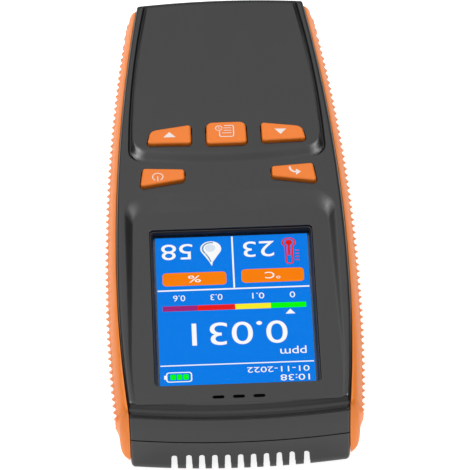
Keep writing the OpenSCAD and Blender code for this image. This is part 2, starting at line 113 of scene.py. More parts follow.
def outline(half, near, tail, corner=1.0, tail_corner=None, split=KINK_Y, end_r=END_R, side=(SIDE_STEPS, SIDE_STEPS)):
    """Closed outline with sides half(y), and bowed ends at near and tail. Every outline has the same count."""
    tail_corner = corner if tail_corner is None else tail_corner
    bow = lambda x: x * x / (2 * end_r)
    x_near, x_tail = half(near) - corner, half(tail) - tail_corner
    low, high = near + bow(x_near) + corner, tail - bow(x_tail) - tail_corner
    right = [(x, near + bow(x)) for x in spread(0, half(low) - corner, END_STEPS)]
    right += quarter((half(low) - corner, low), corner, -90)
    right += [(half(y), y) for y in spread(low, split, side[0])]
    right += [(half(y), y) for y in spread(split, high, side[1])[1:]]
    right += quarter((half(high) - tail_corner, high), tail_corner, 0)
    right += [(x, tail - bow(x)) for x in spread(half(high) - tail_corner, 0, END_STEPS)]
    return right + [(-x, y) for x, y in reversed(right[1:-1])]


def raised(points, near_z, tail_z):
    """Gives an outline its height, level up to the kink and sloping from there to the sensor end."""
    slope = (near_z - tail_z) / (KINK_Y - FACE_END_Y)
    return [(x, y, tail_z + slope * max(0, KINK_Y - y)) for x, y in points]


def case_ring(inset, near, tail, near_z, tail_z=None, corner=1.0):
    points = outline(lambda y: bowed(CASE_HALF, y) - inset, near, tail, corner)
    return raised(points, near_z, near_z if tail_z is None else tail_z)


def solid(name, rings, closed=False):
    """A closed skin through rings of the same count. Its ends are capped, or joined to each other."""
    skin = bmesh.new()
    loops = [[skin.verts.new(Vector(p) * MM) for p in ring] for ring in rings]
    pairs = list(zip(loops, loops[1:])) + ([(loops[-1], loops[0])] if closed else [])
    for one, two in pairs:
        for i in range(len(one)):
            j = (i + 1) % len(one)
            skin.faces.new((one[i], one[j], two[j], two[i]))
    if not closed:
        skin.faces.new(loops[0])
        skin.faces.new(loops[-1])
    bmesh.ops.recalc_face_normals(skin, faces=skin.faces)
    mesh = bpy.data.meshes.new(name)
    skin.to_mesh(mesh)
    skin.free()
    made = bpy.data.objects.new(name, mesh)
    bpy.context.scene.collection.objects.link(made)
    return made


def prism(name, points, low, high):
    return solid(name, [[(x, y, z) for x, y in points] for z in (low, high)])


def settle(piece):
    """Turns a piece's modifiers into its plain mesh."""
    bpy.context.view_layer.update()
    result = bpy.data.meshes.new_from_object(piece.evaluated_get(bpy.context.evaluated_depsgraph_get()))
    piece.modifiers.clear()
    piece.data = result
    return piece


def shape(piece, tools, operation="DIFFERENCE"):
    """Cuts each tool out of the piece, or joins it on, and clears the tool away."""
    for tool in tools:
        step = piece.modifiers.new("shape", "BOOLEAN")
        step.operation, step.object, step.solver = operation, tool, "MANIFOLD"
        settle(piece)
        bpy.data.objects.remove(tool)
    return piece


def soften(piece, width, angle=38, closest=0.004):
    """Rounds the sharp edges as a mould does, shades the flat faces flat, and merges points that are too close."""
    skin = bmesh.new()
    skin.from_mesh(piece.data)
    bmesh.ops.remove_doubles(skin, verts=skin.verts, dist=0.002 * MM)
    bmesh.ops.dissolve_limit(
        skin, angle_limit=math.radians(0.15), verts=skin.verts, edges=skin.edges, delimit={"SHARP"}
    )
    skin.to_mesh(piece.data)
    skin.free()
    if width:
        bevel = piece.modifiers.new("edges", "BEVEL")
        bevel.width, bevel.segments, bevel.limit_method = width * MM, 2, "ANGLE"
        bevel.angle_limit, bevel.miter_outer = math.radians(angle), "MITER_ARC"
        settle(piece)
    if closest:
        skin = bmesh.new()
        skin.from_mesh(piece.data)
        bmesh.ops.remove_doubles(skin, verts=skin.verts, dist=closest * MM)
        bmesh.ops.dissolve_degenerate(skin, dist=closest * MM, edges=skin.edges)
        skin.to_mesh(piece.data)
        skin.free()
    piece.data.shade_smooth()
    piece.data.set_sharp_from_angle(angle=math.radians(angle))
    weigh = piece.modifiers.new("shading", "WEIGHTED_NORMAL")
    weigh.keep_sharp, weigh.weight = True, 80
    return settle(piece)


class Value:
    """An output socket of a material, with arithmetic that adds its Math nodes."""

    def __init__(self, tree, socket):
        self.tree, self.socket = tree, socket

    def math(self, operation, *others):
        node = self.tree.nodes.new("ShaderNodeMath")
        node.operation = operation
        for slot, value in zip(node.inputs, (self, *others)):
            if isinstance(value, Value):
                self.tree.links.new(value.socket, slot)
            else:
                slot.default_value = value
        return Value(self.tree, node.outputs[0])

    def __add__(self, other):
        return self.math("ADD", other)

    def __mul__(self, other):
        return self.math("MULTIPLY", other)

    def __sub__(self, other):
        return self.math("SUBTRACT", other)

    def __rsub__(self, other):
        return (self * -1) + other

    __radd__, __rmul__ = __add__, __mul__


class Finish:
    """A material whose even values are set on the shader, and whose patterns come from node()."""

    def __init__(self, name, **even):
        self.material = bpy.data.materials.new(name)
        self.material.use_nodes = True
        self.tree = self.material.node_tree
        self.surface = self.tree.nodes["Principled BSDF"]
        for key, value in even.items():
            self.surface.inputs[key.replace("_", " ")].default_value = value

    def node(self, kind, settings, values, output=0):
        node = self.tree.nodes.new("ShaderNode" + kind)
        for key, value in settings.items():
            setattr(node, key, value)
        for key, value in values.items():
            if isinstance(value, Value):
                self.tree.links.new(value.socket, node.inputs[key])
            else:
                node.inputs[key].default_value = value
        return Value(self.tree, node.outputs[output])

    def place(self):
        return self.node("TexCoord", {}, {}, "Object")

    def noise(self, size, detail=2.0, rough=0.5):
        """Noise whose blotches are about size millimetres wide."""
        return self.node(
            "TexNoise", {}, {"Vector": self.place(), "Scale": 1 / (size * MM), "Detail": detail, "Roughness": rough}
        )

    def between(self, amount, first, second):
        """A colour between two, by amount."""
        return self.node("Mix", {"data_type": "RGBA"}, {0: amount, 6: first, 7: second}, 2)

    def feed(self, **links):
        for key, value in links.items():
            self.tree.links.new(value.socket, self.surface.inputs[key.replace("_", " ")])
        return self

    def bump(self, height, deep):
        """Relief of a height from 0 to 1, deep millimetres deep."""
        self.feed(Normal=self.node("Bump", {}, {"Height": height, "Distance": deep * MM, "Strength": 1.0}))
        return self


def paint(piece, finish):
    piece.data.materials.clear()
    piece.data.materials.append(finish.material)


def moulded(name, colour, spread_by, rough, grain, deep):
    """Moulded plastic or rubber: faint flow marks in its colour and shine, and a fine eroded grain."""
    finish = Finish(name, Roughness=rough)
    flow, fine = finish.noise(9, 3), finish.noise(grain, 2, 0.6)
    darker = tuple(c * (1 - spread_by) for c in colour) + (1,)
    lighter = tuple(min(1, c * (1 + spread_by)) for c in colour) + (1,)
    finish.feed(
        Base_Color=finish.between(flow * 0.6 + fine * 0.4, darker, lighter),
        Roughness=flow * 0.12 + fine * 0.1 + (rough - 0.11),
    )
    return finish.bump(fine, deep)


def face_height(y):
    return FACE_Z - (FACE_Z - DISH_Z) * max(0, KINK_Y - y) / (KINK_Y - FACE_END_Y)


def dish_ring(t):
    """The wall of the dish, from its floor at 0 to the face at 1. It gets narrower towards the sensor end."""
    narrowing = lambda y: max(0.1, (face_height(y) - DISH_Z) / (FACE_Z - DISH_Z)) ** 0.7
    half = lambda y: min(DISH_HALF, bowed(CASE_HALF, y) - 1.75) - DISH_WALL_W * (1 - t) * narrowing(y)
    points = outline(half, -81.6 - 0.3 * t, -6.6 + 7.6 * t, 1.6, 4.4 + 3.4 * t, end_r=900)
    rise = 0.45 * smooth(t) + 0.55 * t
    return [(x, y, DISH_Z + (face_height(y) - DISH_Z) * rise) for x, y in points]


def window_ring(grow, z):
    half_w, half_l = WINDOW_HALF
    points = outline(
        lambda y: half_w + grow, WINDOW_Y - half_l - grow, WINDOW_Y + half_l + grow, 1.2 + grow,
        split=WINDOW_Y, end_r=1e6,
    )
    return [(x, y, z) for x, y in points]


def ceiling(ring):
    """Inside face: lower over the screen than over the keys and the handle."""
    return [(x, y, 22.4 if y > -3 else 21.0) for x, y, z in ring]


ceiling_step = outline(lambda y: 28.2, -80.6, -1.6, 1.5)
front_rings = [
    case_ring(0.25, -86.85, 86.85, SEAM_Z),
    case_ring(0.25, -86.85, 86.8, SEAM_Z + 0.28),
    case_ring(0, -87.08, 87.0, SEAM_Z + 0.4),
    case_ring(0, -86.8, 85.9, 15),
    case_ring(0, -86.4, 84.6, 18),
    case_ring(0, -86.02, 83.4, 20.1),
    case_ring(0, -85.7, 83.3, 20.3),
    case_ring(0, -85.6, 83.2, 20.55),
    case_ring(0.03, -85.72, 82.8, 20.95),
    case_ring(0.1, -85.45, 82.9, 21.35, 21.5),
    case_ring(0.1, -85.15, 82.75, 21.56, 21.8),
    case_ring(0.1, -84.75, 82.55, 21.69, 22.0),
    case_ring(0.1, -84.1, 82.4, 21.82, 22.3),
    case_ring(0.1, -83.75, 82.0, 21.98, 22.7),
    case_ring(0.1, -83.4, 81.5, 22.22, 23.15),
    case_ring(0.25, -83.1, 81.0, 22.5, 23.6),
    case_ring(0.6, -82.75, 80.4, 22.71, 23.9),
    case_ring(1.1, -82.35, 79.6, 22.83, FACE_Z),
]
front_rings += [dish_ring(t) for t in (1, 0.85, 0.7, 0.55, 0.4, 0.25, 0.12, 0)]
front_rings += [window_ring(0.3, DISH_Z), window_ring(0.08, DISH_Z - 0.07), window_ring(0, DISH_Z - 0.3)]
front_rings += [window_ring(0, 21.0), [(x, y, 21.0) for x, y in ceiling_step]]
front_rings += [
    ceiling([(x, y + (0.6 if y > -3 else 0), 0) for x, y in ceiling_step]),
    ceiling(case_ring(2.8, -81.4, 78.0, 21)),
    case_ring(2, -82, 80.6, 20.2, 21.4),
    case_ring(2, -85.1, 85.0, SEAM_Z),
    case_ring(1.3, -85.8, 85.8, SEAM_Z),
    case_ring(1.3, -85.8, 85.8, SEAM_Z - 0.8),
    case_ring(0.7, -86.4, 86.4, SEAM_Z - 0.8),
    case_ring(0.7, -86.4, 86.4, SEAM_Z),
]
front_shell = solid("front_shell", front_rings, closed=True)

# The raised handle pad: its lip is rounded, and it falls away towards the tail
PAD_LIP_Y, PAD_END_Y = 11.3, 80.0
PAD_HALF = 28.1
PAD_RISE, PAD_RISE_END = 1.2, 0.3


def pad_half(y):
    return PAD_HALF - (y - 8.7) ** 2 / 824


def pad_outline(inset, tail):
    """Outline of the pad with its bowed lip, wide round corners there and a square tail."""
    lip, corner, inset = PAD_LIP_Y + inset, 5, inset * 0.17
    x_bend, bow = PAD_HALF - inset - corner, 280
    low = lip + x_bend ** 2 / bow + corner
    high = tail - x_bend ** 2 / (2 * END_R)
    right = [(x, lip + x * x / bow) for x in spread(0, x_bend, END_STEPS)]
    shift = pad_half(low) - inset - (x_bend + corner)
    right += [(x + shift * (x - x_bend) / corner, y) for x, y in quarter((x_bend, low), corner, -90, 12)]
    right += [(pad_half(y) - inset, y) for y in spread(low, high, 2 * SIDE_STEPS)]
    right += [(x, tail - x * x / (2 * END_R)) for x in spread(pad_half(high) - inset, 0, END_STEPS)[1:]]
    return right + [(-x, y) for x, y in reversed(right[1:-1])]


def pad_ring(inset, tail, share, drop=0.0):
    """A ring of the pad at a share of the pad's own height above the face."""
    ring = []
    for x, y in pad_outline(inset, tail):
        along = (y - PAD_LIP_Y) / (PAD_END_Y - PAD_LIP_Y)
        ring.append((x, y, FACE_Z - drop + share * (PAD_RISE + (PAD_RISE_END - PAD_RISE) * along)))
    return ring


pad = solid("pad", [
    pad_ring(-0.05, 81.0, 0, 1.4),
    pad_ring(-0.05, 80.7, 0, 0.5),
    pad_ring(0, 80.5, 0, 0.03),
    pad_ring(0.5, 80.45, 0.04),
    pad_ring(1.0, 80.4, 0.13),
    pad_ring(1.5, 80.3, 0.26),
    pad_ring(2.0, 80.2, 0.4),
    pad_ring(2.5, 80.05, 0.54),
    pad_ring(3.0, 79.85, 0.68),
    pad_ring(3.5, 79.6, 0.81),
    pad_ring(4.1, 79.2, 0.92),
    pad_ring(4.8, 78.8, 1),
])

# The groove beside the pad is open at the tail, and it rises out of the face as it goes round the lip's corner
GROOVE_W, GROOVE_DEEP = 0.75, 0.6
pad_edge = pad_outline(0, 92)
right_edge = pad_edge[END_STEPS - 3: END_STEPS + 13 + 2 * SIDE_STEPS]


def groove(sign):
    sections = []
    for i, (x, y) in enumerate(right_edge):
        before, after = right_edge[max(i - 1, 0)], right_edge[min(i + 1, len(right_edge) - 1)]
        along = Vector((after[0] - before[0], after[1] - before[1])).normalized()
        out = Vector((along.y, -along.x))
        deep = GROOVE_DEEP * smooth((i - 6) / 8) - 0.12 * (i < 7)
        foot, rim = FACE_Z - deep, FACE_Z + 0.5
        section = []
        for reach, z in ((-0.7, foot), (0.2, foot), (GROOVE_W, FACE_Z + 0.02), (GROOVE_W + 0.1, rim), (-0.7, rim)):
            section.append((sign * (x + out.x * reach), y + out.y * reach, z))
        sections.append(section)
    return solid("groove", sections)


# The keys' caps, seen from above: corners, their radii, the height of the face round them, and which side
PAD_KEY = [(10.25, 18.6), (23.05, 18.95), (22.1, 24.35), (10.2, 26.4)]
MENU_KEY = [(-5.9, 18.1), (5.9, 18.1), (5.75, 27), (-5.75, 27)]
FACE_KEY = [(12.6, 4.9), (25.5, 2.45), (24.6, 10), (12.6, 9.15)]
KEYS = {
    "up": (PAD_KEY, (0.9, 0.9, 2.6, 0.9), 25.05, 1),
    "down": (PAD_KEY, (0.9, 0.9, 2.6, 0.9), 25.05, -1),
    "menu": (MENU_KEY, (1.2, 1.2, 2, 2), 25.05, 1),
    "power": (FACE_KEY, (0.9, 0.9, 0.9, 0.9), 24, -1),
    "back": (FACE_KEY, (0.9, 0.9, 0.9, 0.9), 24, 1),
}


def key_outline(key, grow, steps=8):
    """The cap's outline, moved out by grow, with each corner rounded."""
    corners, radii, _, side = KEYS[key]
    count, points = len(corners), []
    for i, corner in enumerate(corners):
        here = Vector(corner)
        to_last = (Vector(corners[i - 1]) - here).normalized()
        to_next = (Vector(corners[(i + 1) % count]) - here).normalized()
        half = to_last.angle(to_next) / 2
        middle = here + (to_last + to_next).normalized() * radii[i] / math.sin(half)
        radius = max(radii[i] + grow, 0.12)
        if radii[i] + grow < radius:
            middle += (to_last + to_next).normalized() * (radius - radii[i] - grow) / math.sin(half)
        start = math.atan2(*to_last.orthogonal().yx)
        sweep = math.pi - 2 * half
        turns = [start + sweep * k / steps for k in range(steps + 1)]
        points += [(middle.x + radius * math.cos(a), middle.y + radius * math.sin(a)) for a in turns]
    return points if side > 0 else [(-x, y) for x, y in reversed(points)]


KEY_GAP = 0.33
key_holes = [prism("hole", key_outline(key, KEY_GAP), 21, 30) for key in KEYS]


def pill(half_length, half_width, centre, steps=8):
    """A slot with round ends, seen from above."""
    points = []
    for sign, start in ((1, -90), (-1, 90)):
        end_x = centre[0] + sign * (half_length - half_width)
        turns = [math.radians(start + 180 * i / steps) for i in range(steps + 1)]
        points += [(end_x + half_width * math.cos(a), centre[1] + half_width * math.sin(a)) for a in turns]
    return points


sound_holes = [prism("hole", pill(1.7, 0.6, (x, -79.5)), 20, 25) for x in (-5.7, 0, 5.7)]
shape(front_shell, [groove(1), groove(-1)])
shape(front_shell, [pad], "UNION")
shape(front_shell, key_holes + sound_holes)
soften(front_shell, 0.22)
case_plastic = moulded("case_plastic", (0.0105, 0.0105, 0.011), 0.14, 0.33, 0.35, 0.012)
paint(front_shell, case_plastic)
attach(front_shell, "housing")
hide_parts("front_case")

# ---------------------------------------------------------------- Rear case
# The other moulded half, in the same plastic. It has the slots that let air in to the sensors, a shallow
# recess for the label, six deep screw holes and the opening for the charging socket in the tail.
SCREW_PLACES = [(26.5, -79.5), (24.5, 37), (20, 72)]
SCREW_HEAD_Z = 4


def box_outline(half_w, half_l, radius, centre=(0, 0), steps=6):
    """A rectangle with round corners, seen from above."""
    points = []
    for sx, sy, start in ((1, -1, -90), (1, 1, 0), (-1, 1, 90), (-1, -1, 180)):
        turns = [math.radians(start + 90 * i / steps) for i in range(steps + 1)]
        points += [
            (
                centre[0] + sx * (half_w - radius) + radius * math.cos(a),
                centre[1] + sy * (half_l - radius) + radius * math.sin(a),
            )
            for a in turns
        ]
    return points


def standing(name, points, y_from, y_to):
    """A prism along Y from an outline drawn in X and Z."""
    return solid(name, [[(x, y, z) for x, z in points] for y in (y_from, y_to)])


def round_bar(name, centre, radius, low, high, steps=32):
    turns = [2 * math.pi * i / steps for i in range(steps)]
    points = [(centre[0] + radius * math.cos(a), centre[1] + radius * math.sin(a)) for a in turns]
    return prism(name, points, low, high)


def new_tree(name, inputs):
    """A geometry tree with a mesh in, a mesh out, and named inputs."""
    tree = bpy.data.node_groups.new(name, "GeometryNodeTree")
    tree.interface.new_socket("Geometry", in_out="INPUT", socket_type="NodeSocketGeometry")
    tree.interface.new_socket("Geometry", in_out="OUTPUT", socket_type="NodeSocketGeometry")
    for key, kind in inputs.items():
        tree.interface.new_socket(key, in_out="INPUT", socket_type="NodeSocket" + kind)
    start, end = tree.nodes.new("NodeGroupInput"), tree.nodes.new("NodeGroupOutput")
    return tree, start, end


def end_tree(tree, start, end, geometry):
    """Every tree ends with real geometry that has its material."""
    real, dressed = tree.nodes.new("GeometryNodeRealizeInstances"), tree.nodes.new("GeometryNodeSetMaterial")
    tree.links.new(geometry, real.inputs[0])
    tree.links.new(real.outputs[0], dressed.inputs["Geometry"])
    tree.links.new(start.outputs["Finish"], dressed.inputs["Material"])
    tree.links.new(dressed.outputs[0], end.inputs[0])


def run_tree(piece, tree, values):
    """Runs a geometry tree on a piece and keeps the result as its plain mesh."""
    step = piece.modifiers.new(tree.name, "NODES")
    step.node_group = tree
    for socket in tree.interface.items_tree:
        if socket.in_out == "INPUT" and socket.name in values:
            step[socket.identifier] = values[socket.name]
    return settle(piece)


row_tree, row_start, row_end = new_tree(
    "row", {"Item": "Object", "Count": "Int", "First": "Vector", "Step": "Vector", "Finish": "Material"}
)
row_line = row_tree.nodes.new("GeometryNodeMeshLine")
row_item = row_tree.nodes.new("GeometryNodeObjectInfo")
row_copies = row_tree.nodes.new("GeometryNodeInstanceOnPoints")
for key, slot in (("Count", "Count"), ("First", "Start Location"), ("Step", "Offset")):
    row_tree.links.new(row_start.outputs[key], row_line.inputs[slot])
row_tree.links.new(row_start.outputs["Item"], row_item.inputs["Object"])
row_tree.links.new(row_line.outputs[0], row_copies.inputs["Points"])
row_tree.links.new(row_item.outputs["Geometry"], row_copies.inputs["Instance"])
end_tree(row_tree, row_start, row_end, row_copies.outputs[0])


def row(item, count, first, step, finish):
    """Copies of an item in a straight row."""
    made = bpy.data.objects.new(item.name + "_row", bpy.data.meshes.new(item.name))
    bpy.context.scene.collection.objects.link(made)
    run_tree(made, row_tree, {
        "Item": item, "Count": count, "First": Vector(first) * MM, "Step": Vector(step) * MM,
        "Finish": finish.material,
    })
    bpy.data.objects.remove(item)
    return made


rear_shell = solid("rear_shell", [
    case_ring(1.9, -85.1, 82.6, 0),
    case_ring(1.35, -85.6, 83.3, 0.1),
    case_ring(0.85, -86.1, 84.0, 0.4),
    case_ring(0.5, -86.45, 84.5, 0.8),
    case_ring(0.26, -86.7, 84.95, 1.4),
    case_ring(0.14, -86.85, 85.4, 2.2),
    case_ring(0.07, -86.95, 85.8, 3.2),
    case_ring(0.03, -87.02, 86.35, 6),
    case_ring(0, -87.1, 87.1, SEAM_Z),
    case_ring(0.6, -86.5, 86.5, SEAM_Z),
    case_ring(0.6, -86.5, 86.5, SEAM_Z - 0.9),
    case_ring(1.4, -85.7, 85.7, SEAM_Z - 0.9),
    case_ring(1.4, -85.7, 85.7, SEAM_Z),
    case_ring(2, -85.1, 85.0, SEAM_Z),
    case_ring(2.1, -84.9, 83.8, 3.2),
    case_ring(3.4, -83.6, 81.6, 2),
])
rear_bosses = [round_bar("boss", (s * x, y), 3.4, 1.5, SEAM_Z, 40) for x, y in SCREW_PLACES for s in (1, -1)]
shape(rear_shell, rear_bosses, "UNION")
VENT_COUNT, VENT_PITCH, VENT_HALF_W = 11, 3.62, 0.78
VENT_TOP_Z, VENT_BACK_Y = 7.0, -80.2
vent_turns = [math.radians(180 * i / 12) for i in range(13)]
end_slot = [(-1.3, -2), (1.3, -2), (1.3, -0.2), (1.02, 0.5), (0.9, 1.3)]
end_slot += [
    (VENT_HALF_W * math.cos(a), VENT_TOP_Z - VENT_HALF_W + VENT_HALF_W * math.sin(a)) for a in vent_turns
]
end_slot += [(-0.9, 1.3), (-1.02, 0.5), (-1.3, -0.2)]
under_slot = [(0.9, -90), (0.9, -85.5), (VENT_HALF_W, VENT_BACK_Y - VENT_HALF_W)]
under_slot += [
    (VENT_HALF_W * math.cos(a), VENT_BACK_Y - VENT_HALF_W + VENT_HALF_W * math.sin(a)) for a in vent_turns[1:]
]
under_slot += [(-0.9, -85.5), (-0.9, -90)]
first_vent = VENT_PITCH * (VENT_COUNT - 3) / 2
outer_vent = first_vent + VENT_PITCH + 0.5
cutters = []
for count, first, step in ((VENT_COUNT - 2, first_vent, VENT_PITCH), (2, outer_vent, 2 * outer_vent)):
    cutters += [
        row(standing("vent", end_slot, -90, -83.6), count, (-first, 0, 0), (step, 0, 0), case_plastic),
        row(prism("vent", under_slot, -2, 3), count, (-first, 0, 0), (step, 0, 0), case_plastic),
    ]
cutters += [round_bar("hole", (s * x, y), 2.4, -1, SCREW_HEAD_Z, 48) for x, y in SCREW_PLACES for s in (1, -1)]
cutters += [round_bar("hole", (s * x, y), 1.4, -1, 20) for x, y in SCREW_PLACES for s in (1, -1)]
cutters += [prism("recess", box_outline(22, 31, 2, (0, 14)), -1, 0.4)]
cutters += [standing("recess", box_outline(6.2, 3.2, 2, (0, 7.6)), 85.7, 90)]
cutters += [standing("port", box_outline(4.7, 1.85, 1.6, (0, 7.6)), 78, 90)]
shape(rear_shell, cutters)
soften(rear_shell, 0.14, closest=0)
paint(rear_shell, case_plastic)
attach(rear_shell, "housing")
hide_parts("rear_case")

# ---------------------------------------------------------------- Side grips
# Two overmoulded strips of orange thermoplastic rubber, bonded into the sides of the case. The outer face has
# fine cross ribs, and the top band and the ends are smooth.
GRIP_HALF, RIB_PITCH, RIB_HIGH, RIB_COUNT, RIB_FROM_Y = 36.6, 2.6, 0.75, 62, -80.5
RIB_LEAN, LEAN_REACH, LEAN_FADE = 0.98, 5.8, 11  # the ribs lean towards the sensor end as they rise
TRIM_GAP = 0.12                             # between the case's top edge and the strip
GRIP_SLICES = [                             # height, inset, near end, tail, corner
    (1.3, 3, -84.5, 82, 2.6), (2.0, 1.9, -85.4, 82.8, 2.6), (2.7, 1.2, -86, 83.4, 2.6), (3.5, 0.8, -86.3, 83.7, 2.6),
    (4.4, 0.5, -86.5, 83.95, 2.6), (6, 0.25, -86.7, 84.2, 2.6), (9, 0.06, -86.85, 84.35, 2.6),
    (12, 0, -86.9, 84.4, 2.6),
    (15, 0.08, -86.65, 83.95, 2.3), (17.5, 0.35, -86.2, 83.2, 2), (19.2, 0.75, -85.75, 82.6, 1.8),
    (20.2, 1.12, -85.42, 82.2, 1.65), (21.0, 1.5, -85.1, 81.7, 1.5), (21.7, 1.9, -84.65, 81.35, 1.3),
    (22.2, 2.35, -84.0, 80.95, 1.1), (22.48, 2.75, -83.5, 80.6, 1), (22.6, 3.2, -83.0, 80.2, 1),
]


def grip_half(y):
    return bowed(GRIP_HALF, y) - RIB_HIGH


ribs_tree, ribs_start, ribs_end = new_tree("ribs", {
    "Pitch": "Float", "Height": "Float", "First": "Float", "Last": "Float", "Low": "Float", "High": "Float",
    "Finish": "Material",
})
ribs_given = {
    key: Value(ribs_tree, ribs_start.outputs[key]) for key in ("Pitch", "Height", "First", "Last", "Low", "High")
}
ribs_place = ribs_tree.nodes.new("GeometryNodeInputPosition")
ribs_split = ribs_tree.nodes.new("ShaderNodeSeparateXYZ")
ribs_along = ribs_tree.nodes.new("GeometryNodeInputNamedAttribute")
ribs_along.inputs["Name"].default_value = "along"
ribs_tree.links.new(ribs_place.outputs[0], ribs_split.inputs[0])
at_x, at_z = Value(ribs_tree, ribs_split.outputs[0]), Value(ribs_tree, ribs_split.outputs[2])
at_y = Value(ribs_tree, ribs_along.outputs[0])


def fading(value, start, width):
    return (value - start).math("DIVIDE", width).math("MAXIMUM", 0).math("MINIMUM", 1)


along_rib = (at_y - ribs_given["First"]).math("DIVIDE", ribs_given["Pitch"]).math("FRACT")
tooth = fading(1 - (along_rib * 2 - 1).math("ABSOLUTE"), 0.46, 0.32)
tooth = tooth * tooth * (3 - tooth * 2)
fade = fading(at_z, ribs_given["Low"], 1.2 * MM) * fading(at_z * -1, ribs_given["High"] * -1, 1.0 * MM)
fade = fade * fading(at_y, ribs_given["First"], 1.5 * MM) * fading(at_y * -1, ribs_given["Last"] * -1, 1.5 * MM)
outwards = tooth * fade * ribs_given["Height"] * at_x.math("SIGN")
ribs_move, ribs_join = ribs_tree.nodes.new("GeometryNodeSetPosition"), ribs_tree.nodes.new("ShaderNodeCombineXYZ")
ribs_tree.links.new(outwards.socket, ribs_join.inputs[0])
ribs_tree.links.new(ribs_join.outputs[0], ribs_move.inputs["Offset"])
ribs_tree.links.new(ribs_start.outputs["Geometry"], ribs_move.inputs["Geometry"])
end_tree(ribs_tree, ribs_start, ribs_end, ribs_move.outputs[0])

grip_rubber = moulded("grip_rubber", (0.96, 0.235, 0.012), 0.07, 0.5, 0.3, 0.012)
for name, sign in (("left_grip", -1), ("right_grip", 1)):
    rings, along = [], []
    for z, inset, near, tail, corner in GRIP_SLICES:
        ring = outline(
            lambda y: grip_half(y) - inset, near, tail + 0.6, corner, 1.3, RIB_FROM_Y + 1, side=(4, RIB_COUNT * 10)
        )
        along += [y for x, y in ring]
        leant = []
        for x, y in ring:
            lean = min(max(z - SEAM_Z, -LEAN_REACH), LEAN_REACH) * RIB_LEAN
            lean = lean * smooth((y + 85) / LEAN_FADE) * smooth((83.5 - y) / LEAN_FADE)
            widen = grip_half(y - lean) - grip_half(y) if abs(x) > 12 else 0
            leant.append((x + math.copysign(widen, x), y - lean, z))
        rings.append(leant)
    grip = solid(name + "_skin", rings)
    stored = grip.data.attributes.new("along", "FLOAT", "POINT")
    stored.data.foreach_set("value", [y * MM for y in along])
    run_tree(grip, ribs_tree, {
        "Pitch": RIB_PITCH * MM, "Height": RIB_HIGH * MM, "First": RIB_FROM_Y * MM,
        "Last": (RIB_FROM_Y + RIB_COUNT * RIB_PITCH) * MM, "Low": 5.6 * MM, "High": 18.2 * MM,
        "Finish": grip_rubber.material,
    })
    case_side = [(bowed(CASE_HALF, y) + 0.05, y) for y in spread(-92, 92, 60)]
    inside = [(sign * x, y) for x, y in case_side] + [(-sign * 60, 92), (-sign * 60, -92)]
    trim = [(x + sign * TRIM_GAP * (abs(x) < 59), y) for x, y in inside]
    shape(grip, [prism("inside", inside, -5, 30), prism("trim", trim, 21.4, 30)])
    soften(grip, 0, angle=60, closest=0)
    paint(grip, grip_rubber)
    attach(grip, "housing")
    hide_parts(name)

# ---------------------------------------------------------------- Keys
# Five keys moulded in bright orange plastic, each with a rounded rim, a flange that holds it in the case and a
# stem that presses a rubber dome. A thin light print marks each cap.
TRIANGLE_UP = [(-18.3, 21.25), (-14.7, 21.2), (-16.55, 23.4)]
TRIANGLE_DOWN = [(14.1, 23.3), (15.75, 21.0), (17.5, 23.15)]
key_plastic = moulded("key_plastic", (0.97, 0.222, 0.013), 0.05, 0.36, 0.3, 0.008)
key_plastic.surface.inputs["Specular IOR Level"].default_value = 0.38
print_finish = moulded("print_finish", (0.93, 0.84, 0.80), 0.03, 0.5, 0.2, 0.004)


def line_shape(points, width):
    """The outline of an open line of even width."""
    left, right = [], []
    for i, here in enumerate(points):
        before, after = Vector(points[max(i - 1, 0)]), Vector(points[min(i + 1, len(points) - 1)])
        along = (after - before).normalized()
        out = Vector((-along.y, along.x)) * width / 2
        left.append((here[0] + out.x, here[1] + out.y))
        right.append((here[0] - out.x, here[1] - out.y))
    return right + left[::-1]


def arc(centre, radius, start, end, steps=24):
    turns = [math.radians(start + (end - start) * i / steps) for i in range(steps + 1)]
    return [(centre[0] + radius * math.cos(a), centre[1] + radius * math.sin(a)) for a in turns]


page = arc((1.6, 21.3), 0.55, -90, 0, 6) + arc((1.6, 24.75), 0.55, 0, 90, 6) + [(-0.45, 25.3)]
page = [(-1.9, 22.95)] + arc((-1.35, 21.3), 0.55, 180, 270, 6) + page
PRINTS = {
    "down": [TRIANGLE_UP],
    "up": [TRIANGLE_DOWN],
    "menu": [
        line_shape(page, 0.28),
        line_shape(arc((-2.1, 24.3), 0.95, 0, 345), 0.24),
        line_shape([(-2.1, 24.75), (-2.1, 24.2), (-1.7, 24.2)], 0.18),
        line_shape([(-0.75, 24.3), (1.5, 24.3)], 0.22),
        line_shape([(-0.75, 23.3), (1.5, 23.3)], 0.22),
        line_shape([(-1.2, 22.25), (1.5, 22.25)], 0.22),
    ],
    "power": [
        line_shape(arc((-20.35, 6.15), 1.5, -60, 240), 0.26),
        line_shape([(-20.35, 6.35), (-20.35, 4.4)], 0.26),
    ],
    "back": [
        line_shape([(17.85, 8.5), (17.95, 7.6), (18.4, 6.8), (19.0, 6.4), (19.58, 6.28)], 0.6),
        [(19.6, 5.05), (21.05, 6.25), (19.6, 7.55)],
    ],
}


def joined(name, pieces):
    """Several closed shells as one piece."""
    whole = bmesh.new()
    for piece in pieces:
        whole.from_mesh(piece.data)
        bpy.data.objects.remove(piece)
    mesh = bpy.data.meshes.new(name)
    whole.to_mesh(mesh)
    whole.free()
    made = bpy.data.objects.new(name, mesh)
    bpy.context.scene.collection.objects.link(made)
    return made


